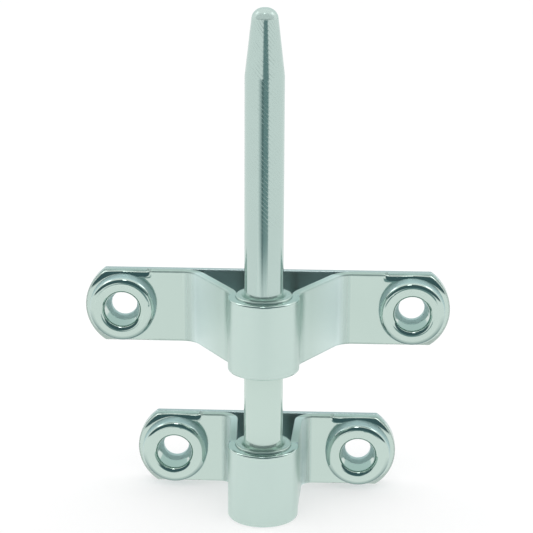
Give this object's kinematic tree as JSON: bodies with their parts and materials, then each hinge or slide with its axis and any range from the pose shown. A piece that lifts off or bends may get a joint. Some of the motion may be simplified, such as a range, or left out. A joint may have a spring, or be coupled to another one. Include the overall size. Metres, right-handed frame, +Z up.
{
  "type": "transom pintle",
  "caption": "Polished stainless transom pintle: long upright pin with a tapered rounded tip, held in sleeves by bent straps riveted to flat back plates with raised screw holes.",
  "frame": {"origin": "on the pin's axis, level with the top of the upper sleeve, where a gudgeon comes to rest", "axes": "+Z up the pin towards its tip, +Y back towards the transom, +X to the right seen from astern"},
  "size_m": [0.0926, 0.0322, 0.127],
  "materials": {
    "turned_pin": "turned and polished stainless steel",
    "turned_sleeves": "turned and polished stainless steel",
    "pressed_straps": "pressed and tumble polished stainless steel",
    "back_plates": "pressed and tumble polished stainless steel",
    "ferrules": "turned and bright polished stainless steel"
  },
  "bodies": {
    "root": {"pintle_pin": "turned_pin", "upper_sleeve": "turned_sleeves", "lower_sleeve": "turned_sleeves", "upper_strap": "pressed_straps", "lower_strap": "pressed_straps", "upper_back_plate": "back_plates", "lower_back_plate": "back_plates", "ferrules": "ferrules"}
  },
  "joints": []
}
